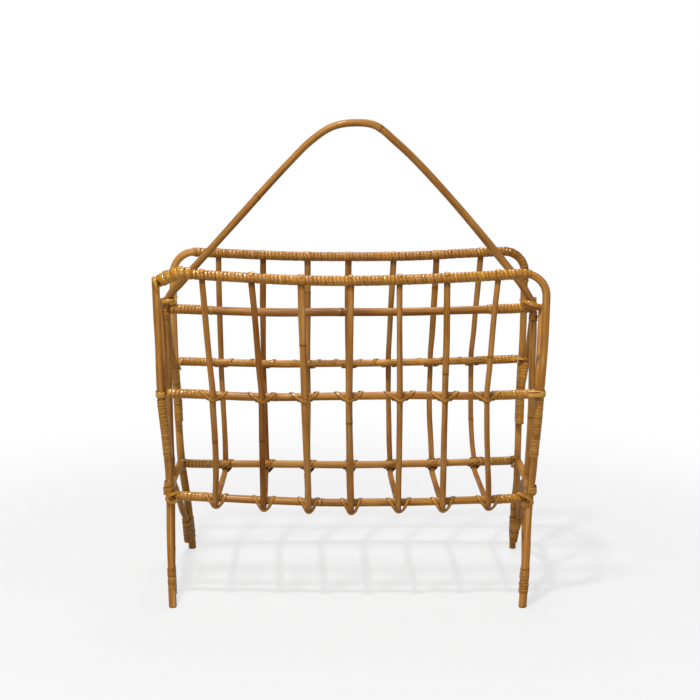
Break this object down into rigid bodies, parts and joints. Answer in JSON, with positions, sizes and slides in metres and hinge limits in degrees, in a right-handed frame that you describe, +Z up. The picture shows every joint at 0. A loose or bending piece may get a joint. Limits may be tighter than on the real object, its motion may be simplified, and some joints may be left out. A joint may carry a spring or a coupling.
{
  "type": "magazine basket",
  "caption": "Open rattan crib for magazines, with bent cane frames, U-shaped ribs, splayed legs and a hoop handle.",
  "frame": {"origin": "on the floor, under the middle of the basket", "axes": "+Z up, +X along the basket, -Y towards the front, the side with the separate left upright"},
  "size_m": [0.441, 0.2522, 0.5414],
  "materials": {
    "frame_cane": "glossy natural rattan skin, golden brown, with nodes",
    "handle_cane": "glossy natural rattan skin, golden brown, with nodes",
    "rail_cane": "glossy natural rattan skin, golden brown",
    "rib_cane": "rattan core, red-brown, satin",
    "peel": "glossy cane peel, light golden brown",
    "lashing": "glossy cane peel, golden brown"
  },
  "bodies": {
    "root": {"front_frame_hoop": "frame_cane", "front_left_upright": "frame_cane", "back_frame_hoop": "frame_cane", "handle_hoop": "handle_cane", "divider_rail": "rail_cane", "front_mid_rail": "rail_cane", "back_mid_rail": "rail_cane", "front_bottom_rail": "rail_cane", "back_bottom_rail": "rail_cane", "side_bottom_rail_left": "rail_cane", "side_bottom_rail_right": "rail_cane", "brace_front_left": "frame_cane", "brace_front_right": "frame_cane", "brace_back_left": "frame_cane", "brace_back_right": "frame_cane", "leg_arch_left": "frame_cane", "leg_arch_right": "frame_cane", "rib_1": "rib_cane", "rib_2": "rib_cane", "rib_3": "rib_cane", "rib_4": "rib_cane", "rib_5": "rib_cane", "rib_6": "rib_cane", "rib_7": "rib_cane", "front_top_rail_winding": "peel", "back_top_rail_winding": "peel", "divider_winding_left": "peel", "divider_winding_right": "peel", "mid_rail_winding_front_left": "peel", "mid_rail_winding_front_right": "peel", "mid_rail_winding_back_left": "peel", "mid_rail_winding_back_right": "peel", "bottom_rail_winding_front_left": "peel", "bottom_rail_winding_front_right": "peel", "bottom_rail_winding_back_left": "peel", "bottom_rail_winding_back_right": "peel", "brace_winding_front_left": "peel", "brace_winding_front_right": "peel", "brace_winding_back_left": "peel", "brace_winding_back_right": "peel", "foot_winding_front_left": "peel", "foot_winding_front_right": "peel", "foot_winding_back_left": "peel", "foot_winding_back_right": "peel", "mid_strap_front_left": "peel", "mid_strap_front_right": "peel", "mid_strap_back_left": "peel", "mid_strap_back_right": "peel", "handle_strap_left": "peel", "handle_strap_right": "peel", "corner_winding_front_left": "peel", "corner_strap_front_left": "peel", "front_mid_lashing": "lashing", "back_mid_lashing": "lashing", "front_bottom_lashing": "lashing", "back_bottom_lashing": "lashing"}
  },
  "joints": []
}
